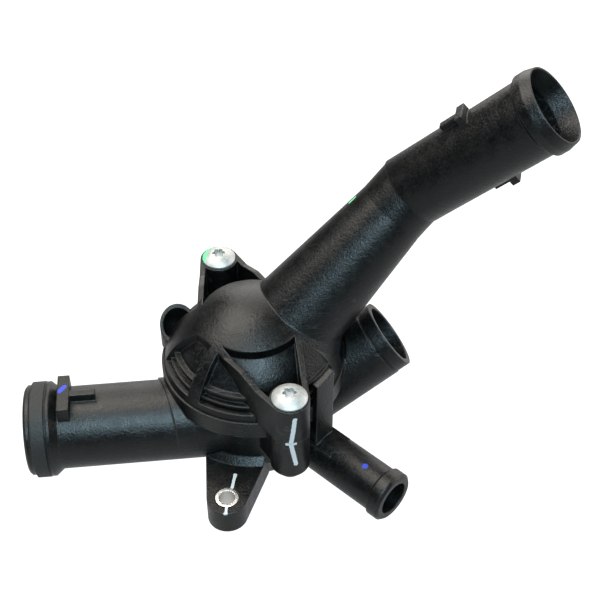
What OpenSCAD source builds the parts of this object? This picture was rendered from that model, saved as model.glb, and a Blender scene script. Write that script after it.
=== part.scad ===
// Coolant thermostat housing: a moulded body with three pipe stubs, a domed
// cover with an angled outlet pipe, and a wax thermostat clamped between them.
// The origin is on the base plane, on the thermostat axis; the inlet neck points to -X.

/* [Body] */
// Outer radius of the chamber wall
chamber_r = 33.5; // [32:0.5:36]
// Thickness of the chamber wall and the floor
wall = 3.2; // [2.6:0.1:3.8]
// Outer radius of the rim flange under the cover
rim_r = 38.3; // [37.5:0.1:40]
// Height of the rim flange
rim_h = 8.5; // [6:0.5:11]
// Height of the joint face between body and cover
split_z = 43; // [42:0.5:46]

/* [Inlet neck] */
// Outer radius of the neck
neck_r = 17.1; // [16:0.25:18.5]
// Distance of the neck mouth from the thermostat axis
neck_len = 95.5; // [85:0.5:105]
// Sideways offset of the neck axis
neck_y = -12.8; // [-14:0.2:-6]
// Height of the neck axis
neck_z = 21.1; // [20:0.1:22]
// Radius of the seal bead at the neck mouth
neck_bead_r = 20; // [19:0.1:20.6]
// Wall of the neck at its mouth
neck_wall = 2.6; // [2:0.1:3.2]

/* [Heater nipple] */
// Outer radius of the nipple
nipple_r = 9.8; // [9:0.1:10.4]
// Distance of the nipple mouth from the thermostat axis
nipple_len = 78; // [70:0.5:85]
// Heading of the nipple
nipple_az = -48.6; // [-54:0.2:-44]
// Height of the nipple axis
nipple_z = 14; // [13:0.5:16]
// Radius of the hose bead on the nipple
nipple_bead_r = 10.8; // [10.5:0.1:11.5]
// Wall of the nipple
nipple_wall = 2.6; // [2:0.1:3]

/* [Engine pipe] */
// Outer radius of the plug-in engine pipe
plug_r = 15.3; // [14:0.1:15.6]
// Distance of its mouth from the thermostat axis, along the ground
plug_reach = 59; // [56:0.5:66]
// Height of the centre of its mouth
plug_mouth_z = 43; // [42:0.5:45]
// Heading of the pipe
plug_az = 9.4; // [4:0.2:14]
// Rise of the pipe above the ground
plug_el = 34; // [30:0.5:36]
// Sideways offset of the pipe axis
plug_y = -3.2; // [-5:0.2:2]
// Wall of the pipe
plug_wall = 2.4; // [2:0.1:3]
// Length of the plain land between its mouth and the groove
plug_land = 5.2; // [4:0.1:8]

/* [Mounting ears] */
// Distance of the mounting holes from the thermostat axis
ear_hole_r = 53.2; // [51:0.2:58]
// Heading of the front mounting hole
ear_az = -106.8; // [-110:0.2:-102]
// Height of the top of the ears
ear_h = 14; // [10:0.5:16]
// Height of the underside of the ears above the base
ear_z = 2.3; // [1:0.1:4]
// Radius of the round end of an ear
ear_end_r = 8.3; // [8:0.1:10]
// Outer radius of the metal sleeve in an ear
sleeve_r = 4.75; // [4.5:0.05:5.5]
// Radius of the bolt hole through the sleeve
sleeve_bore_r = 3.3; // [3.2:0.05:3.6]

/* [Cover] */
// Radius of the dome
dome_r = 38.3; // [37.5:0.1:39]
// Height of the dome's centre
dome_z = 34.5; // [34:0.5:36]
// Depth of the pockets between the ribs
pocket_depth = 3.3; // [2:0.1:3.6]
// Radius of the smooth cap above the pockets
cap_r = 21.2; // [20:0.1:23]
// Width of the ribs beside the screw bosses
web = 2.3; // [2:0.1:3.4]
// Width of the rib between two pockets, as an angle
rib_angle = 9; // [7:0.5:11]
// Radius of the crown on top of the dome
crown_r = 17.5; // [16:0.1:18.5]
// Height of the plain skirt under the pockets
skirt_h = 3; // [2:0.1:4]

/* [Cover screws] */
// Distance of the screws from the thermostat axis
screw_circle_r = 43.5; // [42.5:0.1:46]
// Heading of the front screw
screw_az = -75; // [-78:0.5:-72]
// Height of the seat under the screw heads
screw_seat_z = 61; // [58:0.5:63]
// Outer radius of a screw boss
boss_r = 8; // [7.5:0.1:8.5]
// Lower end of the screw bosses on the body
boss_foot_z = 18; // [16:0.5:24]
// Thread radius of a screw
screw_r = 3; // [2.5:0.1:3.2]
// Length of a screw under its head
screw_len = 31; // [26:0.5:34]
// Radius of a screw head
head_r = 7.1; // [6:0.1:7.4]
// Height of a screw head
head_h = 3.6; // [3:0.1:4.2]

/* [Outlet pipe] */
// Height at which the pipe's axis leaves the thermostat axis
outlet_z = 38.5; // [37:0.5:40]
// Heading of the first leg
leg1_az = 18.2; // [14:0.2:22]
// Rise of the first leg
leg1_el = 44.5; // [42:0.5:47]
// Length of the first leg's axis
leg1_len = 99; // [94:0.5:106]
// Outer radius of the first leg where it leaves the dome
leg1_root_r = 20; // [19:0.1:20.5]
// Outer radius of the pipe at the bend
bend_r = 15; // [14.5:0.1:16]
// Heading of the second leg
leg2_az = -17.8; // [-22:0.2:-14]
// Rise of the second leg
leg2_el = 43.5; // [41:0.5:46]
// Length of the second leg
leg2_len = 69; // [60:0.5:80]
// Outer radius of the second leg at its collar
leg2_r = 15.6; // [15.2:0.1:16.4]
// Outer radius of the hose collar
collar_r = 17; // [16.6:0.1:18]
// Length of the hose collar
collar_len = 9; // [7:0.5:12]
// Wall of the outlet pipe
outlet_wall = 2.6; // [2:0.1:3]
// Thickness of the rim at the outlet's mouth
mouth_rim = 0.7; // [0.5:0.1:1.5]

/* [Thermostat] */
// Radius of the valve opening
seat_r = 15.4; // [14:0.1:16]
// Travel of the valve
valve_travel = 9; // [6:0.5:9]
// Outer radius of the wax capsule
capsule_r = 7; // [6:0.1:7.5]
// Radius of the piston
piston_r = 2; // [1.6:0.1:2.4]
// Wire radius of the main spring
wire_r = 1.1; // [0.9:0.05:1.2]
// Turns of the main spring
spring_turns = 4; // [3:0.5:4]
// Thickness of the sheet metal
sheet = 1.2; // [1:0.1:1.5]

/* [Hidden] */
$fn = 72;
plastic = "#1f1f20";
steel = "#c9c9c4";
brass = "#c8a24a";
rubber = "#141414";
wax = "#b9a77c";

// Cavities and floors that follow from the walls
chamber_in_r = chamber_r - wall;
base_h = 12;
base_taper = 5;
pocket_floor_r = dome_r - pocket_depth;
dome_in_r = pocket_floor_r - wall;
ear_hole = ear_hole_r * [cos(ear_az), sin(ear_az)];
ear_root = [-9.3, -26];
ear_root_r = 13.4;
screw_at = screw_circle_r * [cos(screw_az), sin(screw_az)];
scallop_r = 7.5;
scallop_h = 15;
scallop_az = 160;
scallop_slant = 32;
scallop_sink = 5.8;
scallop_at = dome_r - scallop_sink;
ridge_t = 1.4;
lug_shift = 2.4;
lug_root = lug_shift * [sin(screw_az), -cos(screw_az)];
lug_clear = 0.8;
lug_root_r = cap_r + web - lug_shift - lug_clear;
lug_slope = 18.5;
lug_rise = 3;
lug_inner = screw_circle_r - boss_r;
crown_rise = 0.8;
screw_play = 0.3;
cover_play = 0.5;
outlet_lug_at = 40;
outlet_lug = [9, 3.4, 8, 3.4];
leg1_start = 14;
leg1_swell = 1.6;
bend_straight = 12;
bend_step = 0.3;
bend_lap = 0.4;
flare_at = 17;
flare_len = 19;
flare_r = 31.5;
flare_end_r = 16.4;
flare_drop = 2.5;
flare_set = 0.5;
flare_wall_r = dome_r - flare_set;
collar_sink = 0.4;
collar_ramp = 1.6;
collar_land = 3.4;
collar_taper = 1;
mouth_r = collar_r - collar_taper - mouth_rim;
mouth_depth = 8;
mouth_draft = 0.3;
overlap = 0.01;
far = 300;
plug_run = 48;
plug_shoulder = 0.3;
plug_groove = 0.9;
plug_groove_depth = 0.5;
plug_dot_r = 0.9;
plug_dot_turn = 123;
neck_lug_at = 14.2;
neck_lug = [19, 4.8, 10.4, 4.3];
neck_root = 37.5;
neck_root_step = 1.1;
neck_root_slant = 13;
neck_draft = 1.4;
bore_end = 12;
guard_proud = 3;
guard_r = rim_r + guard_proud;
guard_az = nipple_az - 0.9;
guard_span = 13.6;
guard_top_z = 58.4;
guard_slant = 16;
nipple_block = 49;
nipple_block_half = 0.66 * nipple_r;
nipple_block_h = nipple_r - 1.6;
nipple_root = 8;
nipple_mouth = concat(nipple_len * [cos(nipple_az), sin(nipple_az)], nipple_z);
pocket_gap = 1.6;
pocket_apex = cap_r + pocket_gap;
pocket_reach = dome_r + wall;
front_edge = -56.5;
front_lean = 2.5;
side_edge = front_edge - rib_angle;
side_lean = 1;
side_span = 38.5;
side_top_span = 23.3;
lug_edge = 8;
right_edge = 50;
right_apex = 34;
function around(r, turn) = r * [cos(screw_az + turn), sin(screw_az + turn)];
front_pocket = [around(pocket_apex, front_edge + front_lean), around(pocket_reach, front_edge),
    around(pocket_reach, -lug_edge)];
side_pocket = [around(pocket_apex, side_edge + side_lean), around(pocket_reach, side_edge),
    around(pocket_reach, side_edge - side_span), around(pocket_apex + 1, side_edge - side_top_span)];
rear_pocket = [around(pocket_apex, 180 - front_edge - front_lean), around(pocket_reach, 180 - front_edge),
    around(pocket_reach, 180 + lug_edge)];
right_pocket = [around(pocket_apex, right_apex), around(pocket_reach, lug_edge),
    around(pocket_reach, right_edge)];
ridge_heights = [1, 4.6];
ridge_sink = 1.2;
ridge_proud = 1.4;
scallop_wall = 1.4;
scallop_floor = 1;

// The seal holds the thermostat's flange in a counterbore of the rim
seal_h = 3;
seal_out_r = chamber_in_r + 3;
seal_in_r = chamber_in_r - 1;
flange_z = split_z - seal_h / 2 - sheet / 2;
flange_r = seal_out_r - 1.2;
seat_rise = 4.6;
seat_z = flange_z + seat_rise;
seal_ring_h = 1.4;
seat_gap = 0.05;
disc_z = seat_z - seat_gap - seal_ring_h - sheet;
disc_r = seat_r + 1.8;
collar_h = 3;
capsule_collar_r = capsule_r + 2;
cage_z = disc_z - sheet - (spring_turns + 1) * 2 * wire_r - valve_travel;
capsule_z = cage_z - 2.5;
spring_foot_z = cage_z + sheet;
spring_top_z = disc_z;
spring_r = 13;
strap_w = 8;
strap_r = seal_in_r - 6.5;
piston_tip = 0.6;
capsule_play = 0.4;
piston_play = 0.3;
cup_wall = 1;
guide_h = 5;
boot_wall = 1.4;
boot_lip = 1.2;
guide_z = disc_z + sheet - guide_h;
bridge_top_z = dome_z + dome_in_r - 3.4;
piston_foot_z = capsule_z + 12.3;

function heading(az, el) = [cos(az) * cos(el), sin(az) * cos(el), sin(el)];
bend_at = [0, 0, outlet_z] + leg1_len * heading(leg1_az, leg1_el);
plug_mouth = [plug_reach * cos(plug_az) - plug_y * sin(plug_az),
              plug_reach * sin(plug_az) + plug_y * cos(plug_az), plug_mouth_z];

// Places children with their Z axis along a heading
module aim(at, az, el) {
    translate(at) rotate([0, 90 - el, az]) children();
}

// The outer tangents of two circles, closed to a four-sided outline
module flanks(c1, r1, c2, r2) {
    d = c2 - c1;
    turn = atan2(d[1], d[0]);
    open = acos((r1 - r2) / norm(d));
    function rim_point(c, r, s) = c + r * [cos(turn + s * open), sin(turn + s * open)];
    polygon([rim_point(c1, r1, 1), rim_point(c2, r2, 1), rim_point(c2, r2, -1), rim_point(c1, r1, -1)]);
}

// Two circles joined by their outer tangents
module tongue(c1, r1, c2, r2) {
    translate(c1) circle(r = r1);
    translate(c2) circle(r = r2);
    flanks(c1, r1, c2, r2);
}

// Repeats children for the two ends of a pair that face each other across the axis
module both_sides() {
    for (turn = [0, 180]) rotate(turn) children();
}

// Everything above the joint face
module above_split() {
    translate([-far, -far, split_z]) cube([2 * far, 2 * far, far]);
}

// Half space before the mitre between the two outlet legs, or the one behind it, which laps over it a little
module mitre_side(behind) {
    n = heading(leg1_az, leg1_el) + heading(leg2_az, leg2_el);
    az = atan2(n[1], n[0]);
    el = asin(n[2] / norm(n));
    aim(bend_at, az, el) translate([-far / 2, -far / 2, behind ? -bend_lap : -far]) cube([far, far, far]);
}

// First leg of the outlet, shrunk by inset for its bore
module leg1(inset) {
    run = leg1_len - leg1_start - bend_straight;
    intersection() {
        aim([0, 0, outlet_z], leg1_az, leg1_el) translate([0, 0, leg1_start]) {
            cylinder(h = run, r1 = leg1_root_r + leg1_swell - inset, r2 = bend_r - inset);
            translate([0, 0, run]) cylinder(h = bend_straight + 2 * bend_r, r = bend_r - inset);
        }
        mitre_side(false);
    }
}

// Flare that spreads the first leg onto the dome, ending in an upright wall
module flare() {
    intersection() {
        aim([0, 0, outlet_z], leg1_az, leg1_el) translate([flare_drop, 0, flare_at])
            cylinder(h = flare_len, r1 = flare_r, r2 = flare_end_r);
        translate([0, 0, split_z]) cylinder(h = far, r = flare_wall_r);
    }
}

// Second leg of the outlet up to an end, shrunk by inset for its bore
module leg2(inset, end) {
    intersection() {
        aim(bend_at, leg2_az, leg2_el) {
            translate([0, 0, -2 * bend_r])
                cylinder(h = 2 * bend_r + bend_straight, r = bend_r + bend_step - inset);
            translate([0, 0, bend_straight])
                cylinder(h = end - bend_straight, r1 = bend_r + bend_step - inset, r2 = leg2_r - inset);
        }
        mitre_side(true);
    }
}

// T-shaped locating lug for a hose clip, lying along +X on the top of a pipe of radius r
module clip_lug(r, lug) {
    bar_w = lug[0];
    bar_t = lug[1];
    stem_len = lug[2];
    rise = lug[3];
    stem_w = 3;
    stem_drop = 0.6;
    foot = 0.6 * r;
    translate([0, -bar_w / 2, foot]) cube([bar_t, bar_w, r + rise - foot]);
    translate([bar_t, -stem_w / 2, foot]) cube([stem_len, stem_w, r + rise - stem_drop - foot]);
}

// Outside of the inlet neck, with its mouth at z = 0 and the pipe running to +z
module neck_outside() {
    lip = 2.4;
    lip_step = 1.2;
    chamfer = 0.9;
    ramp = 0.6;
    bead_end = lip + 6;
    groove = 0.8;
    ridge_r = neck_bead_r - 0.2;
    ridge_end = bead_end + 2;
    cone_end = ridge_end + 3.2;
    rotate_extrude() polygon([
        [0, 0], [neck_bead_r - lip_step - chamfer, 0], [neck_bead_r - lip_step, chamfer],
        [neck_bead_r - lip_step, lip], [neck_bead_r, lip + ramp], [neck_bead_r, bead_end],
        [neck_bead_r - groove, bead_end], [neck_bead_r - groove, bead_end + groove],
        [ridge_r, bead_end + groove], [ridge_r, ridge_end], [neck_r, cone_end], [neck_r, neck_len - wall],
        [0, neck_len - wall]]);
    difference() {
        translate([-neck_root_step, 0, neck_len - neck_root - neck_r])
            cylinder(h = neck_root + neck_r - wall, r = neck_r);
        translate([0, 0, neck_len - neck_root]) rotate([-neck_root_slant, 0, 0])
            translate([-far / 2, -far / 2, -far]) cube([far, far, far]);
    }
}

// Outside of the heater nipple, with its mouth at z = 0
module nipple_outside() {
    chamfer = 1.2;
    bead = 6.4;
    ramp = 0.8;
    run = nipple_len - nipple_root;
    rotate_extrude() polygon([
        [0, 0], [nipple_bead_r - chamfer, 0], [nipple_bead_r, chamfer], [nipple_bead_r, bead - ramp],
        [nipple_r, bead], [nipple_r, run], [0, run]]);
}

// Outside of the engine pipe, with its mouth at z = 0: a plain land, a fine groove and the pipe behind them
module plug_outside() {
    groove_r = plug_r - plug_groove_depth;
    run_r = plug_r + plug_shoulder;
    groove_end = plug_land + plug_groove;
    difference() {
        rotate_extrude() polygon([
            [0, 0], [plug_r, 0], [plug_r, plug_land], [groove_r, plug_land], [groove_r, groove_end],
            [run_r, groove_end], [run_r, plug_run], [0, plug_run]]);
        rotate(plug_dot_turn) translate([groove_r - plug_groove_depth, 0, groove_end]) rotate([0, 90, 0])
            cylinder(h = far, r = plug_dot_r);
    }
}

// Outline of a mounting ear, at the front
module ear_outline() {
    tongue(ear_hole, ear_end_r, ear_root, ear_root_r);
}

// Mounting ear with the fillet that eases it into the chamber wall
module mounting_ear() {
    fillet = 3;
    translate([0, 0, ear_z]) linear_extrude(ear_h - ear_z) ear_outline();
    intersection() {
        translate([0, 0, ear_h]) cylinder(h = fillet, r1 = chamber_r + fillet, r2 = chamber_r);
        translate([0, 0, ear_h - 1]) linear_extrude(fillet + 1) ear_outline();
    }
}

// Body boss that takes a cover screw: a pillar with a tapered foot and a web to the wall
module body_boss() {
    foot = 5;
    foot_taper = 3.5;
    web_inset = 1.5;
    web_swell = 2;
    web_depth = 0.6;
    pillar = split_z - boss_foot_z - foot;
    translate([screw_at[0], screw_at[1], boss_foot_z]) {
        cylinder(h = foot, r1 = boss_r - foot_taper, r2 = boss_r);
        translate([0, 0, foot]) cylinder(h = pillar, r = boss_r);
    }
    translate([0, 0, boss_foot_z + foot]) linear_extrude(pillar)
        tongue(screw_at, boss_r - web_inset, web_depth * screw_at, boss_r + web_swell);
}

// Raised guard wall beside the heater nipple, with a slanted top
module guard() {
    rotate(guard_az) difference() {
        translate([0, 0, nipple_z]) rotate(-guard_span / 2) rotate_extrude(angle = guard_span)
            translate([chamber_in_r + 1, 0])
                square([guard_r - chamber_in_r - 1, guard_top_z + wall - nipple_z]);
        translate([0, 0, guard_top_z]) rotate([guard_slant, 0, 0]) translate([0, -far / 2, 0])
            cube([far, far, far]);
    }
}

// Square shoulder at the root of the heater nipple
module nipple_shoulder() {
    rotate(nipple_az) translate([chamber_in_r + 1, -nipple_block_half, nipple_z])
        cube([nipple_block - chamber_in_r - 1, 2 * nipple_block_half, nipple_block_h]);
}

module housing_body() {
    color(plastic) difference() {
        union() {
            cylinder(h = base_h, r1 = chamber_r - base_taper, r2 = chamber_r);
            translate([0, 0, base_h]) cylinder(h = split_z - base_h, r = chamber_r);
            translate([0, 0, split_z - rim_h]) cylinder(h = rim_h, r = rim_r);
            both_sides() body_boss();
            both_sides() mounting_ear();
            guard();
            nipple_shoulder();
            aim([-neck_len, neck_y, neck_z], 0, 0) neck_outside();
            translate([-neck_len + neck_lug_at, neck_y, neck_z]) clip_lug(neck_r, neck_lug);
            aim(nipple_mouth, nipple_az + 180, 0) nipple_outside();
            aim(plug_mouth, plug_az + 180, -plug_el) plug_outside();
        }
        // room for the cover, and the ground plane
        translate([0, 0, split_z]) cylinder(h = far, r = rim_r + cover_play);
        translate([-far, -far, -far]) cube([2 * far, 2 * far, far]);
        // chamber and the counterbore for the thermostat's seal
        translate([0, 0, wall])
            cylinder(h = base_h - wall + overlap, r1 = chamber_in_r - base_taper, r2 = chamber_in_r);
        translate([0, 0, base_h]) cylinder(h = split_z, r = chamber_in_r);
        translate([0, 0, split_z - seal_h]) cylinder(h = far, r = seal_out_r);
        // inlet neck bore, drafted towards the chamber
        aim([-neck_len - overlap, neck_y, neck_z], 0, 0)
            cylinder(h = neck_len - bore_end, r1 = neck_r - neck_wall, r2 = neck_r - neck_wall - neck_draft);
        // heater nipple bore
        aim(nipple_mouth, nipple_az + 180, 0) translate([0, 0, -overlap])
            cylinder(h = nipple_len - bore_end, r = nipple_r - nipple_wall);
        // engine pipe bore, which dips under the rim
        difference() {
            aim(plug_mouth, plug_az + 180, -plug_el) translate([0, 0, -overlap])
                cylinder(h = plug_run + wall, r = plug_r - plug_wall);
            translate([0, 0, split_z - rim_h - 1]) cylinder(h = far, r = rim_r + wall);
        }
        both_sides() translate([ear_hole[0], ear_hole[1], 0]) cylinder(h = ear_h + 1, r = sleeve_r);
        both_sides() translate([screw_at[0], screw_at[1], screw_seat_z - screw_len - 1])
            cylinder(h = far, r = screw_r);
    }
}

// Outline of both cover lugs: the screw bosses and the tangent webs that run to one circle beside the axis
module both_lugs(inset) {
    translate(lug_root) circle(r = lug_root_r - inset);
    for (at = [screw_at, -screw_at]) {
        translate(at) circle(r = boss_r - inset);
        flanks(at, boss_r - inset, lug_root, lug_root_r - inset);
    }
}

// Outline of the hollows between the lugs' webs, their bosses and the cap
module lug_pocket_outline() {
    difference() {
        both_lugs(web);
        both_sides() translate(screw_at) circle(r = boss_r);
        circle(r = cap_r);
    }
}

// Outlines of the three pockets on the dome's free flank, which end at the lugs' webs
module flank_pocket_outline() {
    difference() {
        union() {
            polygon(front_pocket);
            polygon(side_pocket);
            polygon(rear_pocket);
        }
        both_lugs(0);
    }
}

// Outline of the pocket between the front lug and the flare
module right_pocket_outline() {
    difference() {
        polygon(right_pocket);
        both_lugs(0);
    }
}

// Two arc ridges on the floor of each pocket; beside the flare they stand further out
module pocket_ridges() {
    for (up = ridge_heights) {
        z = split_z + skirt_h + up;
        ridge_r = sqrt(pow(dome_r - ridge_sink, 2) - pow(z + ridge_t - dome_z, 2));
        translate([0, 0, z]) linear_extrude(ridge_t) intersection() {
            circle(r = ridge_r);
            flank_pocket_outline();
        }
        translate([0, 0, z]) linear_extrude(ridge_t) intersection() {
            circle(r = ridge_r + ridge_proud);
            right_pocket_outline();
        }
    }
}

// Hollow scallop on the dome's flank, a bowl cut off at a slant
module scallop() {
    translate(concat(scallop_at * [cos(scallop_az), sin(scallop_az)], split_z)) difference() {
        cylinder(h = scallop_h, r = scallop_r);
        translate([0, 0, scallop_r + scallop_floor]) {
            sphere(r = scallop_r - scallop_wall);
            cylinder(h = far, r = scallop_r - scallop_wall);
        }
        translate([0, scallop_r, scallop_h]) rotate([scallop_slant, 0, 0]) translate([-far / 2, -far, 0])
            cube([far, 2 * far, far]);
    }
}

// Lugs with flat screw seats and webs that climb towards the dome
module cover_lugs() {
    top_z = screw_seat_z + lug_rise;
    difference() {
        translate([0, 0, split_z]) linear_extrude(top_z - split_z) both_lugs(0);
        both_sides() rotate(screw_az) rotate([90, 0, 0]) linear_extrude(far, center = true)
            polygon([[lug_inner, screw_seat_z], [far, screw_seat_z], [far, far], [lug_inner, far],
                [lug_inner - lug_rise / tan(lug_slope), top_z]]);
    }
}

// Raised crown on top of the dome
module dome_crown() {
    edge_z = dome_z + sqrt(dome_r * dome_r - crown_r * crown_r);
    rise = dome_z + dome_r + crown_rise - edge_z;
    ball = (crown_r * crown_r + rise * rise) / (2 * rise);
    intersection() {
        translate([0, 0, edge_z + rise - ball]) sphere(r = ball);
        translate([0, 0, dome_z]) cylinder(h = far, r = crown_r + 1);
    }
}

// Dome, lugs and flare with the pockets cut down to the floor shell
module ribbed_dome() {
    difference() {
        union() {
            difference() {
                union() {
                    intersection() {
                        translate([0, 0, dome_z]) sphere(r = dome_r);
                        above_split();
                    }
                    cover_lugs();
                    dome_crown();
                }
                translate([0, 0, split_z + skirt_h]) linear_extrude(far) {
                    flank_pocket_outline();
                    right_pocket_outline();
                }
            }
            flare();
        }
        translate([0, 0, split_z + skirt_h]) linear_extrude(far) lug_pocket_outline();
    }
    intersection() {
        translate([0, 0, dome_z]) sphere(r = pocket_floor_r);
        above_split();
    }
    pocket_ridges();
    scallop();
}

// Hose collar at the outlet's mouth, with its foot at z = 0, tapering to a thin rim
module hose_collar() {
    rotate_extrude() polygon([
        [0, 0], [leg2_r - collar_sink, 0], [collar_r, collar_ramp], [collar_r, collar_ramp + collar_land],
        [collar_r - collar_taper, collar_len], [0, collar_len]]);
}

// Second leg with its collar, its clip lugs, its bore and its widened mouth
module outlet_end() {
    difference() {
        union() {
            leg2(0, leg2_len - collar_len / 2);
            aim(bend_at, leg2_az, leg2_el) {
                translate([0, 0, leg2_len - collar_len]) hose_collar();
                translate([0, 0, outlet_lug_at]) for (turn = [0, 180])
                    rotate(turn) rotate([0, -90, 0]) rotate([0, 0, 180]) clip_lug(bend_r, outlet_lug);
            }
        }
        leg2(outlet_wall, leg2_len - overlap);
        aim(bend_at, leg2_az, leg2_el) translate([0, 0, leg2_len - mouth_depth])
            cylinder(h = mouth_depth + overlap, r1 = leg2_r - outlet_wall - mouth_draft, r2 = mouth_r);
    }
}

module outlet_cover() {
    color(plastic) {
        difference() {
            union() {
                ribbed_dome();
                intersection() {
                    leg1(0);
                    above_split();
                }
            }
            translate([0, 0, dome_z]) sphere(r = dome_in_r);
            leg1(outlet_wall);
            both_sides() translate([screw_at[0], screw_at[1], 0])
                cylinder(h = far, r = screw_r + screw_play);
        }
        outlet_end();
    }
}

// Pan-head screw with a six-lobe socket
module cover_screw() {
    socket_r = 2.8;
    socket_h = 2.2;
    lobe_r = 0.28 * socket_r;
    edge_h = 0.8;
    dome_h = head_h - edge_h;
    ball_r = (head_r * head_r + dome_h * dome_h) / (2 * dome_h);
    difference() {
        union() {
            intersection() {
                cylinder(h = head_h, r = head_r);
                translate([0, 0, head_h - ball_r]) sphere(r = ball_r);
            }
            translate([0, 0, -screw_len]) cylinder(h = screw_len + edge_h / 2, r = screw_r);
        }
        translate([0, 0, head_h - socket_h]) {
            cylinder(h = far, r = socket_r - lobe_r);
            for (k = [0 : 5]) rotate(60 * k) translate([socket_r - lobe_r, 0, 0])
                cylinder(h = far, r = lobe_r);
        }
    }
}

module cover_screw_front() {
    color(steel) translate([screw_at[0], screw_at[1], screw_seat_z]) cover_screw();
}

module cover_screw_rear() {
    rotate(180) cover_screw_front();
}

// Metal sleeve pressed into an ear, as long as the ear is thick
module mounting_sleeve_front() {
    color(steel) translate([ear_hole[0], ear_hole[1], ear_z]) difference() {
        cylinder(h = ear_h - ear_z, r = sleeve_r);
        translate([0, 0, -1]) cylinder(h = ear_h, r = sleeve_bore_r);
    }
}

module mounting_sleeve_rear() {
    rotate(180) mounting_sleeve_front();
}

// Rubber ring that grips the edge of the valve flange
module cover_seal() {
    color(rubber) rotate_extrude() difference() {
        translate([seal_in_r, split_z - seal_h]) square([seal_out_r - seal_in_r, seal_h]);
        translate([seal_in_r - 1, flange_z]) square([flange_r - seal_in_r + 1, sheet]);
    }
}

// Pressed flange plate with its raised valve seat
module valve_flange() {
    lip = 2.5;
    foot = 7;
    lean = 0.5;
    color(steel) rotate_extrude() polygon([
        [flange_r, flange_z], [flange_r, flange_z + sheet], [seat_r + foot, flange_z + sheet],
        [seat_r + lip, seat_z + sheet], [seat_r, seat_z + sheet], [seat_r, seat_z],
        [seat_r + lip - lean, seat_z], [seat_r + foot - lean, flange_z]]);
}

// U-shaped strap fixed to the flange: its foot, its crown and half its span at each
module strap(foot_z, foot_half, crown_z, crown_half) {
    side = sign(crown_z - foot_z);
    rotate([90, 0, 0]) linear_extrude(strap_w, center = true) polygon([
        [-foot_half, foot_z], [-crown_half, crown_z], [crown_half, crown_z], [foot_half, foot_z],
        [foot_half + sheet, foot_z], [crown_half + sheet, crown_z + side * sheet],
        [-crown_half - sheet, crown_z + side * sheet], [-foot_half - sheet, foot_z]]);
}

// Bridge over the seat that holds the piston
module piston_bridge() {
    crown_share = 0.4;
    color(steel) difference() {
        strap(flange_z + sheet, strap_r, bridge_top_z, crown_share * strap_r);
        translate([0, 0, bridge_top_z - 1]) cylinder(h = 1 + piston_tip, r = piston_r);
    }
}

// Cage under the flange that carries the spring's lower end
module spring_cage() {
    rim = 2.6;
    color(steel) difference() {
        union() {
            translate([0, 0, cage_z]) cylinder(h = sheet, r = spring_r + rim);
            strap(flange_z, strap_r, cage_z + sheet, strap_r);
        }
        translate([0, 0, cage_z - 1]) cylinder(h = sheet + 2, r = capsule_r + capsule_play);
    }
}

module valve_disc() {
    color(steel) difference() {
        translate([0, 0, disc_z]) cylinder(h = sheet, r = disc_r);
        translate([0, 0, disc_z - 1]) cylinder(h = sheet + 2, r = capsule_r);
    }
}

module valve_seal() {
    lap = 2;
    color(rubber) translate([0, 0, disc_z + sheet]) difference() {
        cylinder(h = seal_ring_h, r = disc_r);
        translate([0, 0, -1]) cylinder(h = seal_ring_h + 2, r = seat_r - lap);
    }
}

// Brass cup of the wax capsule
module wax_capsule() {
    color(brass) translate([0, 0, capsule_z]) difference() {
        cylinder(h = disc_z + sheet - capsule_z, r = capsule_r);
        translate([0, 0, cup_wall]) cylinder(h = far, r = capsule_r - cup_wall);
    }
}

// Brass guide that closes the cup and leads the piston
module piston_guide() {
    neck_h = 4;
    color(brass) difference() {
        union() {
            translate([0, 0, guide_z]) cylinder(h = guide_h, r = capsule_r - cup_wall);
            translate([0, 0, disc_z + sheet])
                cylinder(h = neck_h, r1 = capsule_r - cup_wall, r2 = piston_r + piston_play + cup_wall);
        }
        translate([0, 0, guide_z - 1]) cylinder(h = far, r = piston_r + piston_play);
    }
}

// Outside of the rubber boot between the wax and the piston
module boot_outside() {
    boot_r = piston_r + piston_play + boot_wall;
    translate([0, 0, guide_z - boot_lip]) cylinder(h = boot_lip, r = capsule_r - cup_wall);
    boot_foot = piston_foot_z - piston_play - boot_wall;
    translate([0, 0, boot_foot]) cylinder(h = guide_z - boot_foot, r = boot_r);
}

module rubber_boot() {
    color(rubber) difference() {
        boot_outside();
        translate([0, 0, piston_foot_z - piston_play]) cylinder(h = far, r = piston_r + piston_play);
    }
}

// Wax charge that fills the cup around the boot
module wax_charge() {
    color(wax) difference() {
        translate([0, 0, capsule_z + cup_wall])
            cylinder(h = guide_z - capsule_z - cup_wall, r = capsule_r - cup_wall);
        boot_outside();
    }
}

// Crimped ring that ties the disc to the capsule
module capsule_collar() {
    color(brass) translate([0, 0, disc_z - collar_h]) difference() {
        cylinder(h = collar_h, r = capsule_collar_r);
        translate([0, 0, -1]) cylinder(h = collar_h + 2, r = capsule_r);
    }
}

module piston() {
    color(steel) translate([0, 0, piston_foot_z])
        cylinder(h = bridge_top_z + piston_tip - piston_foot_z, r = piston_r);
}

// Helical compression spring between the cage and the disc
module main_spring() {
    sides = 8;
    steps = 20 * spring_turns;
    climb = spring_top_z - spring_foot_z - 2 * wire_r;
    function ring(i) = let (
        a = 360 * spring_turns * i / steps,
        z = spring_foot_z + wire_r + climb * i / steps)
        [for (k = [0 : sides - 1]) let (b = 360 * (k + 0.5) / sides, r = spring_r + wire_r * cos(b))
            [r * cos(a), r * sin(a), z + wire_r * sin(b)]];
    points = [for (i = [0 : steps]) each ring(i)];
    sheath = [for (i = [0 : steps - 1], k = [0 : sides - 1]) let (n = (k + 1) % sides)
        [i * sides + k, i * sides + n, (i + 1) * sides + n, (i + 1) * sides + k]];
    ends = [[for (k = [sides - 1 : -1 : 0]) k], [for (k = [0 : sides - 1]) steps * sides + k]];
    color(steel) polyhedron(points, concat(sheath, ends));
}

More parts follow.
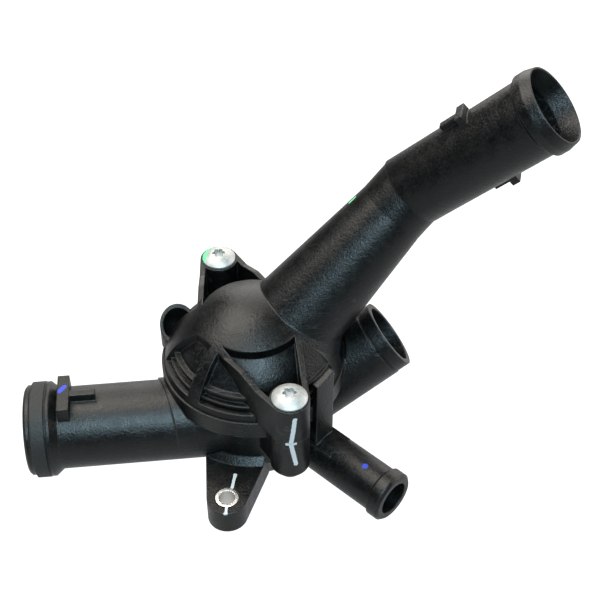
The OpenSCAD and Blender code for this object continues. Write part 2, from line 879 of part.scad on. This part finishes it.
housing_body();
outlet_cover();
cover_screw_front();
cover_screw_rear();
mounting_sleeve_front();
mounting_sleeve_rear();
cover_seal();
valve_flange();
piston_bridge();
spring_cage();
valve_disc();
valve_seal();
wax_capsule();
piston_guide();
rubber_boot();
wax_charge();
capsule_collar();
piston();
main_spring();
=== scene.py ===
import bpy
import numpy as np
from mathutils import Matrix, Vector


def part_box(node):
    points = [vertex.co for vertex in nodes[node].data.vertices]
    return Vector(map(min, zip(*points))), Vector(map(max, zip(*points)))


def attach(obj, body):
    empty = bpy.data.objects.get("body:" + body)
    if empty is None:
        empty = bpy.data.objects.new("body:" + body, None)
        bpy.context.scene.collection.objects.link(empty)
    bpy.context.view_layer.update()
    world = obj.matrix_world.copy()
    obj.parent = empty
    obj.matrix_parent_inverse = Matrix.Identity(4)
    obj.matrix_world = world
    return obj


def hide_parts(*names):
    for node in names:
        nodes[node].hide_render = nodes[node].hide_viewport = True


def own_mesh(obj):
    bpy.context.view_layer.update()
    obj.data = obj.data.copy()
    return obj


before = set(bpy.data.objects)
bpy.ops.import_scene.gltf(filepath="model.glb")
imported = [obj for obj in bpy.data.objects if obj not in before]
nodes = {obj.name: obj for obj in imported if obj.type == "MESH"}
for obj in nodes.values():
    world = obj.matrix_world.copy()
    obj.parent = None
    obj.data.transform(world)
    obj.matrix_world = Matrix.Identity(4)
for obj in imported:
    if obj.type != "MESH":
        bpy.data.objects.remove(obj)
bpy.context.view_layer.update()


# Housing body: the lower moulding, with the chamber, inlet neck, heater nipple, engine pipe and mounting ears.
# Black glass-filled nylon, satin from the mould, with soft edges painted lighter (part wear, part painted edge
# highlight), a fine grain, and dust and scuffs from handling.
# Inspection paint marks the front boss, the front ear, the nipple and the neck's clip lug.
def put(tree, kind, settings=None, **feeds):
    """Adds one node. Settings are its own choices.
    A feed is a socket to link, or a value, under the input's name or under i and the input's number."""
    made = tree.nodes.new(kind)
    for key, value in (settings or {}).items():
        setattr(made, key, value)
    for key, value in feeds.items():
        by_number = key[0] == "i" and key[1:].isdigit()
        socket = made.inputs[int(key[1:]) if by_number else key]
        if isinstance(value, bpy.types.NodeSocket):
            tree.links.new(value, socket)
        else:
            socket.default_value = value
    return made


def maths(tree, operation, *terms, clamp=False):
    """One sum on values, such as a product or a difference."""
    feeds = {f"i{place}": term for place, term in enumerate(terms)}
    return put(tree, "ShaderNodeMath", {"operation": operation, "use_clamp": clamp}, **feeds).outputs[0]


def vectors(tree, operation, *terms):
    """One sum on vectors. A dot product, a distance and a length come out as a value."""
    feeds = {f"i{place}": term for place, term in enumerate(terms)}
    made = put(tree, "ShaderNodeVectorMath", {"operation": operation}, **feeds)
    return made.outputs["Value" if operation in ("DOT_PRODUCT", "DISTANCE", "LENGTH") else "Vector"]


def ramp(tree, value, start, end, low=0.0, high=1.0):
    """Carries a value from start..end over to low..high, and holds it at those ends."""
    return put(tree, "ShaderNodeMapRange", i0=value, i1=start, i2=end, i3=low, i4=high).outputs[0]


def noise(tree, point, scale, detail=2.0, roughness=0.5):
    """Three-dimensional noise about 0.5, with features of about 1 / scale metres."""
    return put(tree, "ShaderNodeTexNoise", Vector=point, Scale=scale, Detail=detail, Roughness=roughness).outputs["Fac"]


def blend_colour(tree, share, under, over):
    """One colour covered by another to a given share."""
    return put(tree, "ShaderNodeMix", {"data_type": "RGBA"}, i0=share, i6=under, i7=over).outputs[2]


def blend_value(tree, share, under, over):
    """One value moved towards another by a given share."""
    return put(tree, "ShaderNodeMix", {"data_type": "FLOAT"}, i0=share, i2=under, i3=over).outputs[0]


def new_group(name, takes, gives):
    """Starts a shader node group from its inputs with their first values, and its outputs with their kinds.
    Returns the group, the sockets to read from and the sockets to feed."""
    group = bpy.data.node_groups.new(name, "ShaderNodeTree")
    kinds = {1: "Float", 3: "Vector", 4: "Color"}
    for label, value in takes.items():
        socket = group.interface.new_socket(label, in_out="INPUT", socket_type="NodeSocket" + kinds[np.size(value)])
        socket.default_value = value
    for label, kind in gives.items():
        group.interface.new_socket(label, in_out="OUTPUT", socket_type="NodeSocket" + kind)
    return group, group.nodes.new("NodeGroupInput").outputs, group.nodes.new("NodeGroupOutput").inputs


def grained_skin():
    """Colour, roughness and height of a moulded or rolled skin: fine speckle on broad clouds, both noise.
    Colour and roughness follow a weighted sum of the two, and so does the height."""
    speckle_limits, speckle_share = (0.35, 0.72), 0.45
    cloud_limits, cloud_share, cloud_height = (0.3, 0.7), 0.55, 0.5
    group, takes, gives = new_group(
        "grained skin",
        {"Point": (0, 0, 0), "Dark": (0, 0, 0, 1), "Light": (1, 1, 1, 1),
         "Speckle": 1500.0, "Cloud": 60.0, "Smooth": 0.3, "Rough": 0.5},
        {"Colour": "Color", "Roughness": "Float", "Height": "Float"})
    speckle = noise(group, takes["Point"], takes["Speckle"], detail=3.0, roughness=0.65)
    cloud = noise(group, takes["Point"], takes["Cloud"], detail=4.0, roughness=0.6)
    clouded = maths(group, "MULTIPLY", ramp(group, cloud, *cloud_limits), cloud_share)
    mottle = maths(group, "MULTIPLY_ADD", ramp(group, speckle, *speckle_limits), speckle_share, clouded)
    group.links.new(blend_colour(group, mottle, takes["Dark"], takes["Light"]), gives["Colour"])
    group.links.new(blend_value(group, mottle, takes["Smooth"], takes["Rough"]), gives["Roughness"])
    group.links.new(maths(group, "MULTIPLY_ADD", cloud, cloud_height, speckle), gives["Height"])
    return group


def brush_stroke():
    """Mask of one paint stroke: the points nearer than a width to the line from start to end.
    Noise frays the edge, and the paint thins out over the last fifth of the width."""
    bristles, full_paint = 900.0, 0.8
    group, takes, gives = new_group(
        "brush stroke",
        {"Point": (0, 0, 0), "Start": (0, 0, 0), "End": (0, 0, 1), "Width": 0.001, "Ragged": 0.0004},
        {"Mask": "Float"})
    along = vectors(group, "SUBTRACT", takes["End"], takes["Start"])
    off = vectors(group, "SUBTRACT", takes["Point"], takes["Start"])
    reach, whole = vectors(group, "DOT_PRODUCT", off, along), vectors(group, "DOT_PRODUCT", along, along)
    share = maths(group, "DIVIDE", reach, whole, clamp=True)
    foot = put(group, "ShaderNodeVectorMath", {"operation": "SCALE"}, i0=along, Scale=share).outputs["Vector"]
    fray = maths(group, "SUBTRACT", noise(group, takes["Point"], bristles), 0.5)
    gap = maths(group, "MULTIPLY_ADD", fray, takes["Ragged"], vectors(group, "DISTANCE", off, foot))
    inner = maths(group, "MULTIPLY", takes["Width"], full_paint)
    group.links.new(ramp(group, gap, takes["Width"], inner), gives["Mask"])
    return group


def settled_dust():
    """Mask of shop dust: fine specks on drifting clouds, both noise past a limit.
    It lies thicker where the surface looks up."""
    specks, speck_limits = 1350.0, (0.50, 0.74)
    drifts, drift_limits, thinnest_drift = 95.0, (0.40, 0.72), 0.25
    upright, flat_enough, on_the_sides = -0.2, 0.75, 0.08
    group, takes, gives = new_group(
        "settled dust", {"Point": (0, 0, 0), "Normal": (0, 0, 1), "Amount": 1.0}, {"Mask": "Float"})
    up = put(group, "ShaderNodeSeparateXYZ", Vector=takes["Normal"]).outputs["Z"]
    lying = ramp(group, up, upright, flat_enough, low=on_the_sides)
    fine = ramp(group, noise(group, takes["Point"], specks, roughness=0.6), *speck_limits)
    cloud = noise(group, takes["Point"], drifts, detail=5.0, roughness=0.65)
    thick = maths(group, "MULTIPLY", fine, ramp(group, cloud, *drift_limits, low=thinnest_drift))
    seen = maths(group, "MULTIPLY", thick, lying)
    group.links.new(maths(group, "MULTIPLY", seen, takes["Amount"], clamp=True), gives["Mask"])
    return group


def hairline_scuffs():
    """Mask of hairline scratches: the level line of a noise drawn out along one slanted direction, kept in patches."""
    slant, drawn_out = (0.4, 0.7, 0.9), (45.0, 380.0, 380.0)
    line_edges, patches, patch_limits = (0.02, 0.008), 34.0, (0.54, 0.66)
    group, takes, gives = new_group("hairline scuffs", {"Point": (0, 0, 0)}, {"Mask": "Float"})
    drawn = put(group, "ShaderNodeMapping", Vector=takes["Point"], Rotation=slant, Scale=drawn_out).outputs[0]
    level = maths(group, "SUBTRACT", noise(group, drawn, 1.0, detail=1.0), 0.5)
    line = ramp(group, maths(group, "ABSOLUTE", level), *line_edges)
    kept = ramp(group, noise(group, takes["Point"], patches), *patch_limits)
    group.links.new(maths(group, "MULTIPLY", line, kept), gives["Mask"])
    return group


skin_group = grained_skin()
stroke_group = brush_stroke()
dust_group = settled_dust()
scuff_group = hairline_scuffs()


def start_material(name):
    """A new material, with its tree, its Principled shader and the Object coordinate."""
    made = bpy.data.materials.new(name)
    made.use_nodes = True
    tree = made.node_tree
    return made, tree, tree.nodes["Principled BSDF"], tree.nodes.new("ShaderNodeTexCoord").outputs["Object"]


def place(tree, group, **feeds):
    """A node group in one material, with that material's own values."""
    return put(tree, "ShaderNodeGroup", {"node_tree": group}, **feeds).outputs


def soft_bump(tree, shader, height, strength, depth, edge):
    """Grain bump on a normal that rounds the edges by a small radius; returns that rounded normal."""
    eased = put(tree, "ShaderNodeBevel", {"samples": 6}, Radius=edge).outputs[0]
    bump = put(tree, "ShaderNodeBump", Strength=strength, Distance=depth, Height=height, Normal=eased).outputs[0]
    tree.links.new(bump, shader.inputs["Normal"])
    return eased


def coat(tree, shader, colour, rough):
    """Feeds a colour and a roughness to the shader."""
    tree.links.new(colour, shader.inputs["Base Color"])
    tree.links.new(rough, shader.inputs["Roughness"])


def black_nylon(name, strokes, matte_band=None):
    """Satin black nylon: grain, edges painted lighter as wear and as a painted edge highlight, dust, scuffs, and the
    listed paint strokes (colour, width, points) on top. A band between two X is duller where one is given."""
    deep_black, fibre_grey = (0.0012, 0.0016, 0.0019, 1), (0.0100, 0.0096, 0.0089, 1)
    # Edge colour and mask limits: part rubbed wear, part a painted edge highlight.
    edge_wear_and_highlight_grey, edge_wear_and_highlight_limits, most_edge_wear_and_highlight = (0.06, 0.058, 0.054, 1), (0.985, 0.8), 0.6
    dust_tan, dust_amount, dust_rough = (0.075, 0.068, 0.058, 1), 0.26, 0.75
    scuff_grey, scuff_share = (0.05, 0.052, 0.056, 1), 0.6
    chalk_grey, chalk_share, chalk_rough = (0.06, 0.06, 0.058, 1), 0.28, 0.6
    paint_rough, paint_fray = 0.6, 0.5
    made, tree, shader, point = start_material(name)
    grain = place(tree, skin_group, Point=point, Dark=deep_black, Light=fibre_grey,
                  Speckle=980.0, Cloud=190.0, Smooth=0.28, Rough=0.46)
    eased = soft_bump(tree, shader, grain["Height"], strength=0.42, depth=0.0004, edge=0.0009)
    true_normal = put(tree, "ShaderNodeNewGeometry").outputs["Normal"]
    facing = vectors(tree, "DOT_PRODUCT", eased, true_normal)
    # Edges are painted lighter where the rounded normal turns from the true one: partly wear, partly a painted edge
    # highlight.
    colour = blend_colour(tree, ramp(tree, facing, *edge_wear_and_highlight_limits, high=most_edge_wear_and_highlight), grain["Colour"], edge_wear_and_highlight_grey)
    dust = place(tree, dust_group, Point=point, Normal=true_normal, Amount=dust_amount)["Mask"]
    colour = blend_colour(tree, dust, colour, dust_tan)
    rough = blend_value(tree, dust, grain["Roughness"], dust_rough)
    scuffs = place(tree, scuff_group, Point=point)["Mask"]
    colour = blend_colour(tree, maths(tree, "MULTIPLY", scuffs, scuff_share), colour, scuff_grey)
    if matte_band:
        x = put(tree, "ShaderNodeSeparateXYZ", Vector=point).outputs["X"]
        past, short = maths(tree, "GREATER_THAN", x, matte_band[0]), maths(tree, "LESS_THAN", x, matte_band[1])
        band = maths(tree, "MULTIPLY", past, short)
        colour = blend_colour(tree, maths(tree, "MULTIPLY", band, chalk_share), colour, chalk_grey)
        rough = blend_value(tree, band, rough, chalk_rough)
    for tint, width, line in strokes:
        for start, end in zip(line[:-1], line[1:]):
            mask = place(tree, stroke_group, Point=point, Start=start, End=end,
                         Width=width, Ragged=paint_fray * width)["Mask"]
            colour = blend_colour(tree, mask, colour, tint)
            rough = blend_value(tree, mask, rough, paint_rough)
    coat(tree, shader, colour, rough)
    shader.inputs["Specular IOR Level"].default_value = 0.42
    return made


def dress(material, *names):
    """Puts a material on every slot of the named CAD nodes."""
    for name in names:
        for slot in nodes[name].material_slots:
            slot.material = material


white_paint = (0.50, 0.50, 0.51, 1)
blue_paint = (0.035, 0.06, 0.40, 1)
pale_green = (0.16, 0.62, 0.30, 1)
body_strokes = [
    # Down the boss from the joint, with a tick along the joint.
    (white_paint, 0.0010, [(0.0109, -0.0500, 0.0430), (0.0129, -0.0499, 0.0304)]),
    (white_paint, 0.0006, [(0.0092, -0.0497, 0.0428), (0.0128, -0.0498, 0.0428)]),
    # Across the ear on both sides of its sleeve, each line with a blob at the end away from the sleeve.
    (white_paint, 0.0007, [(-0.0114, -0.0400, 0.0140), (-0.0130, -0.0462, 0.0140)]),
    (white_paint, 0.0009, [(-0.0113, -0.0398, 0.0140), (-0.0114, -0.0402, 0.0140)]),
    (white_paint, 0.0006, [(-0.0158, -0.0552, 0.0140), (-0.0163, -0.0586, 0.0140)]),
    (white_paint, 0.0009, [(-0.0164, -0.0588, 0.0140), (-0.0165, -0.0590, 0.0140)]),
    # A dot on the nipple and a dab on the clip lug.
    (blue_paint, 0.0013, [(0.0410, -0.0484, 0.0237), (0.0412, -0.0485, 0.0237)]),
    (blue_paint, 0.0011, [(-0.0802, -0.0120, 0.0425), (-0.0784, -0.0096, 0.0425)])]
neck_bead_band = (-0.0930, -0.0872)
dress(black_nylon("black nylon body", body_strokes, neck_bead_band), "housing_body")


# Mounting sleeves: two turned steel rings pressed into the ears, so that the bolts don't crush the nylon.
# Bright steel, faintly ringed by the cutting tool.
def metal(name, dark, light, smooth, rough, edge, cloud=140.0, rings=0.0):
    """Bare metal: clouded grain with rounded edges, and rings of a lathe tool up the piece's height where given."""
    ring_height = 0.6
    made, tree, shader, point = start_material(name)
    grain = place(tree, skin_group, Point=point, Dark=dark, Light=light,
                  Speckle=2200.0, Cloud=cloud, Smooth=smooth, Rough=rough)
    height = grain["Height"]
    if rings:
        turned = put(tree, "ShaderNodeTexWave", {"bands_direction": "Z"}, Vector=point,
                     Scale=rings, Distortion=1.5, Detail=2.0).outputs["Fac"]
        height = maths(tree, "MULTIPLY_ADD", turned, ring_height, height)
    soft_bump(tree, shader, height, strength=0.1, depth=0.0002, edge=edge)
    coat(tree, shader, grain["Colour"], grain["Roughness"])
    shader.inputs["Metallic"].default_value = 1.0
    return made


turned_steel = metal("turned steel", dark=(0.62, 0.61, 0.59, 1), light=(0.86, 0.86, 0.84, 1),
                     smooth=0.22, rough=0.38, edge=0.0004, rings=900.0)
dress(turned_steel, "mounting_sleeve_front", "mounting_sleeve_rear")


# Thermostat frame: flange with its seat, piston bridge, spring cage and valve disc, pressed from stainless sheet.
# Bridge and cage are fixed to the flange, and the disc rides on the wax capsule.
# The piston is ground steel and stands in the bridge.
pressed_sheet = metal("pressed stainless", dark=(0.42, 0.42, 0.41, 1), light=(0.68, 0.67, 0.65, 1),
                      smooth=0.24, rough=0.42, edge=0.0003, cloud=220.0)
dress(pressed_sheet, "valve_flange", "piston_bridge", "spring_cage", "valve_disc")
ground_steel = metal("ground piston", dark=(0.55, 0.55, 0.54, 1), light=(0.8, 0.8, 0.79, 1),
                     smooth=0.12, rough=0.25, edge=0.0002, rings=1500.0)
dress(ground_steel, "piston")


# Wax capsule, piston guide and collar: drawn and turned brass, slightly tarnished.
# The guide closes the cup, and the collar ties the cup to the valve disc.
drawn_brass = metal("drawn brass", dark=(0.42, 0.27, 0.09, 1), light=(0.78, 0.56, 0.22, 1),
                    smooth=0.2, rough=0.42, edge=0.0003, cloud=180.0, rings=700.0)
dress(drawn_brass, "wax_capsule", "piston_guide", "capsule_collar")


# Rubber seals: the ring under the cover, the ring on the valve disc and the boot round the piston.
# Black moulded rubber, matte, with a bloom of paler dust.
def moulded_rubber():
    """Matte black rubber with a pale bloom in clouds."""
    made, tree, shader, point = start_material("moulded rubber")
    grain = place(tree, skin_group, Point=point, Dark=(0.010, 0.010, 0.010, 1), Light=(0.035, 0.034, 0.033, 1),
                  Speckle=1800.0, Cloud=120.0, Smooth=0.6, Rough=0.85)
    soft_bump(tree, shader, grain["Height"], strength=0.2, depth=0.0003, edge=0.0003)
    coat(tree, shader, grain["Colour"], grain["Roughness"])
    shader.inputs["Specular IOR Level"].default_value = 0.3
    return made


dress(moulded_rubber(), "cover_seal", "valve_seal", "rubber_boot")


# Wax charge: wax filled with copper powder, cast into the cup round the boot.
# Dull amber with metal flecks; it swells when hot and drives the capsule down from the piston.
def copper_wax():
    """Dull amber wax with fine flecks."""
    made, tree, shader, point = start_material("copper wax")
    grain = place(tree, skin_group, Point=point, Dark=(0.22, 0.11, 0.04, 1), Light=(0.55, 0.36, 0.16, 1),
                  Speckle=2500.0, Cloud=160.0, Smooth=0.4, Rough=0.65)
    soft_bump(tree, shader, grain["Height"], strength=0.25, depth=0.0003, edge=0.0003)
    coat(tree, shader, grain["Colour"], grain["Roughness"])
    return made


dress(copper_wax(), "wax_charge")


# Main spring: round stainless wire wound on a mandrel, with a closed coil at each end.
# It stands on the cage and pushes the valve disc shut, and it shortens as the valve opens.
def wound_wire(foot, top, coil_r, wire_r, turns, end_share, end_rise, steps, sides):
    """Wire surface: a circle carried along a helix that climbs slowly over a share of the wire at each end.
    Point(u, v) = ((R + r cos v) cos a, (R + r cos v) sin a, h(u) + r sin v), with a = turns * 2 pi * u.
    The height h(u) is end_rise * u plus the rest of the climb between the two ends. Fans close the wire's ends."""
    u = np.linspace(0.0, 1.0, steps)
    v = np.arange(sides) * (2 * np.pi / sides)
    climb = np.clip((u - end_share) / (1 - 2 * end_share), 0.0, 1.0)
    height = foot + wire_r + (top - foot - 2 * wire_r) * (end_rise * u + (1 - end_rise) * climb)
    turn = 2 * np.pi * turns * u
    out = coil_r + wire_r * np.cos(v)[None, :]
    x = out * np.cos(turn)[:, None]
    y = out * np.sin(turn)[:, None]
    z = height[:, None] + wire_r * np.sin(v)[None, :]
    rings = np.stack([x, y, z], -1).reshape(-1, 3)
    ends = [0, -1]
    caps = np.stack([coil_r * np.cos(turn[ends]), coil_r * np.sin(turn[ends]), height[ends]], -1)
    i = np.arange(steps - 1)[:, None] * sides
    k = np.arange(sides)[None, :]
    n = (k + 1) % sides
    sheath = np.stack([i + k, i + sides + k, i + sides + n, i + n], -1).reshape(-1, 4)
    last_ring = (steps - 1) * sides
    first = np.stack([np.full(sides, steps * sides), k[0], n[0]], -1)
    last = np.stack([np.full(sides, steps * sides + 1), last_ring + n[0], last_ring + k[0]], -1)
    return np.vstack([rings, caps]), sheath.tolist() + first.tolist() + last.tolist()


def new_piece(name, points, faces, material):
    """A mesh object at the origin, from an array of points and a list of faces, in one material."""
    mesh = bpy.data.meshes.new(name)
    mesh.from_pydata(points.tolist(), [], faces)
    mesh.materials.append(material)
    made = bpy.data.objects.new(name, mesh)
    bpy.context.scene.collection.objects.link(made)
    return made


spring_low, spring_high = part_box("main_spring")
spring_points, spring_faces = wound_wire(
    spring_low[2], spring_high[2], coil_r=0.013, wire_r=0.0011, turns=4.0,
    end_share=0.12, end_rise=0.06, steps=420, sides=16)
spring_steel = metal("spring wire", dark=(0.3, 0.3, 0.29, 1), light=(0.6, 0.59, 0.57, 1),
                     smooth=0.25, rough=0.42, edge=0.0002, cloud=200.0)
spring_wire = new_piece("main_spring_wire", spring_points, spring_faces, spring_steel)
spring_wire.data.shade_smooth()
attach(spring_wire, "housing")
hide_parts("main_spring")
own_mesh(spring_wire)


# Outlet cover: the upper moulding, a ribbed dome with two screw lugs and the bent outlet pipe.
# The same black nylon as the body, held down on the seal by the two cover screws.
# Inspection paint runs down the front lug to the joint, with a touch of green on the pipe.
cover_strokes = [
    # Down the lug to the joint, with the tick's upper half, and a touch on the pipe.
    (white_paint, 0.0010, [(0.0125, -0.0499, 0.0572), (0.0120, -0.0499, 0.0520), (0.0109, -0.0500, 0.0430)]),
    (white_paint, 0.0006, [(0.0092, -0.0497, 0.0432), (0.0128, -0.0498, 0.0432)]),
    (pale_green, 0.0008, [(0.0422, 0.0221, 0.1036), (0.0441, 0.0228, 0.1055)])]
dress(black_nylon("black nylon cover", cover_strokes), "outlet_cover")


# Cover screws: two zinc-plated steel screws with a domed head and a six-lobe socket.
# Matte silver; they form their own thread in the body's bosses, so the ridge is coarse and sharp.
# The rear head carries a touch of green paint.
def zinc_plate(name, strokes):
    """Matte zinc plate with cloudy passivation.
    The listed paint strokes (colour, width, ends) cover the metal."""
    plated, paint_rough, paint_fray = 0.6, 0.55, 0.6
    made, tree, shader, point = start_material(name)
    grain = place(tree, skin_group, Point=point, Dark=(0.32, 0.32, 0.308, 1), Light=(0.56, 0.56, 0.542, 1),
                  Speckle=1800.0, Cloud=260.0, Smooth=0.45, Rough=0.62)
    soft_bump(tree, shader, grain["Height"], strength=0.15, depth=0.0002, edge=0.0004)
    shader.inputs["Metallic"].default_value = plated
    colour, rough, shine = grain["Colour"], grain["Roughness"], plated
    for tint, width, (start, end) in strokes:
        mask = place(tree, stroke_group, Point=point, Start=start, End=end,
                     Width=width, Ragged=paint_fray * width)["Mask"]
        colour = blend_colour(tree, mask, colour, tint)
        rough = blend_value(tree, mask, rough, paint_rough)
        shine = blend_value(tree, mask, shine, 0.0)
        tree.links.new(shine, shader.inputs["Metallic"])
    coat(tree, shader, colour, rough)
    return made


def thread_ridge(axis, low, high, shank_r, crest, pitch, steps):
    """Thread ridge: a triangle carried up a helix about the screw's axis, its crest growing and fading over one turn.
    Point(u, k) = (x + r_k cos a, y + r_k sin a, low + climb(u) + h_k), with a = 2 pi climb(u) / pitch."""
    sunk_share, half_foot, least_grown = 0.2, 0.22, 0.1
    climb = np.linspace(0.0, high - low, steps)
    turn = (2 * np.pi * climb / pitch)[:, None]
    grown = np.clip(np.minimum(climb, climb[-1] - climb) / pitch, least_grown, 1.0)
    sunk = np.full(steps, shank_r - sunk_share * crest)
    radius = np.stack([sunk, sunk + (1 + sunk_share) * crest * grown, sunk], -1)
    height = low + climb[:, None] + pitch * np.array([[-half_foot, 0.0, half_foot]])
    rings = np.stack([axis[0] + radius * np.cos(turn), axis[1] + radius * np.sin(turn), height], -1).reshape(-1, 3)
    i = np.arange(steps - 1)[:, None] * 3
    k = np.arange(3)[None, :]
    n = (k + 1) % 3
    sheath = np.stack([i + k, i + 3 + k, i + 3 + n, i + n], -1).reshape(-1, 4)
    last = 3 * (steps - 1)
    return rings, sheath.tolist() + [[0, 1, 2], [last + 2, last + 1, last]]


def cut_thread(screw, material):
    """The thread on the lower part of a cover screw's shank, below the joint between body and cover."""
    point_len, thread_end = 0.0010, 0.0122
    low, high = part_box(screw)
    axis = (0.5 * (low[0] + high[0]), 0.5 * (low[1] + high[1]))
    points, faces = thread_ridge(axis, low[2] + point_len, low[2] + thread_end,
                                 shank_r=0.0030, crest=0.0004, pitch=0.0020, steps=240)
    thread = new_piece(screw + "_thread", points, faces, material)
    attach(thread, "housing")


plain_zinc = zinc_plate("zinc plate front", [])
rear_stroke = (pale_green, 0.0020, ((-0.0182, 0.0405, 0.0616), (-0.0150, 0.0474, 0.0618)))
dress(plain_zinc, "cover_screw_front")
dress(zinc_plate("zinc plate rear", [rear_stroke]), "cover_screw_rear")
for screw in ("cover_screw_front", "cover_screw_rear"):
    cut_thread(screw, plain_zinc)


# Stage: a plain pale floor, white to the camera and a fading pool of light in the part's reflections.
# Warm soft light from above, cool light from the front, and weak fill from behind and from the right.
# The camera stands as the photo's did.
def pale_floor():
    """Matte floor that glows: evenly to the camera, and to other rays as a pool that fades away from the part."""
    seen_glow, pool_glow, pool_reach = 0.9, 0.55, (0.15, 0.75)
    made, tree, shader, point = start_material("pale floor")
    shader.inputs["Base Color"].default_value = (0.12, 0.12, 0.12, 1)
    shader.inputs["Roughness"].default_value = 0.9
    shader.inputs["Specular IOR Level"].default_value = 0.0
    shader.inputs["Emission Color"].default_value = (1.0, 1.0, 1.0, 1)
    away = vectors(tree, "LENGTH", point)
    pool = put(tree, "ShaderNodeMapRange", {"interpolation_type": "SMOOTHSTEP"},
               i0=away, i1=pool_reach[0], i2=pool_reach[1], i3=pool_glow, i4=0.0).outputs[0]
    to_camera = tree.nodes.new("ShaderNodeLightPath").outputs["Is Camera Ray"]
    tree.links.new(blend_value(tree, to_camera, pool, seen_glow), shader.inputs["Emission Strength"])
    return made


floor_half = 4.0
floor_corners = floor_half * np.array([(-1, -1, 0), (1, -1, 0), (1, 1, 0), (-1, 1, 0)])
new_piece("floor", floor_corners, [(0, 1, 2, 3)], pale_floor())


def panel_light(name, at, size, watts, colour):
    """Square area light at a point, turned to face the middle of the part."""
    middle = Vector((0.01, 0.0, 0.06))
    lamp = bpy.data.lights.new(name, "AREA")
    lamp.size = size
    lamp.energy = watts
    lamp.color = colour
    made = bpy.data.objects.new(name, lamp)
    made.location = at
    made.rotation_euler = (middle - Vector(at)).to_track_quat("-Z", "Y").to_euler()
    bpy.context.scene.collection.objects.link(made)


warm, cool, soft_white = (1.0, 0.95, 0.88), (0.64, 0.88, 1.0), (1.0, 0.97, 0.93)
panel_light("light_above", (-0.34, 0.22, 1.00), size=0.9, watts=13.2, colour=warm)
panel_light("light_front", (0.06, -0.86, 0.98), size=0.75, watts=18.5, colour=cool)
panel_light("light_rear", (0.30, 1.25, 0.55), size=1.5, watts=17.0, colour=soft_white)
panel_light("light_side", (1.30, 0.20, 0.42), size=1.2, watts=13.0, colour=soft_white)

dim_sky, seen_sky = 0.05, 1.1
world = bpy.data.worlds.new("studio")
world.use_nodes = True
sky_tree = world.node_tree
sky = sky_tree.nodes["Background"]
sky.inputs["Color"].default_value = (0.93, 0.97, 1.0, 1)
to_camera = sky_tree.nodes.new("ShaderNodeLightPath").outputs["Is Camera Ray"]
sky_tree.links.new(ramp(sky_tree, to_camera, 0.0, 1.0, dim_sky, seen_sky), sky.inputs["Strength"])
bpy.context.scene.world = world
bpy.context.scene.view_settings.view_transform = "Standard"
bpy.context.scene.view_settings.look = "Medium High Contrast"

camera_lift = np.radians(43.5)
camera_spin = Matrix.Rotation(np.radians(-6.0), 3, "Z")
camera_at = camera_spin @ Vector((0.0196, -0.3497, 0.4065))
to_right = camera_spin @ Vector((1, 0, 0))
to_top = camera_spin @ Vector((0, np.sin(camera_lift), np.cos(camera_lift)))
to_back = camera_spin @ Vector((0, -np.cos(camera_lift), np.sin(camera_lift)))
lens = bpy.data.cameras.new("photo_camera")
lens.sensor_width = 36.0
lens.lens = 72.0
camera = bpy.data.objects.new("photo_camera", lens)
camera.matrix_world = Matrix.Translation(camera_at) @ Matrix((to_right, to_top, to_back)).transposed().to_4x4()
bpy.context.scene.collection.objects.link(camera)
bpy.context.scene.camera = camera
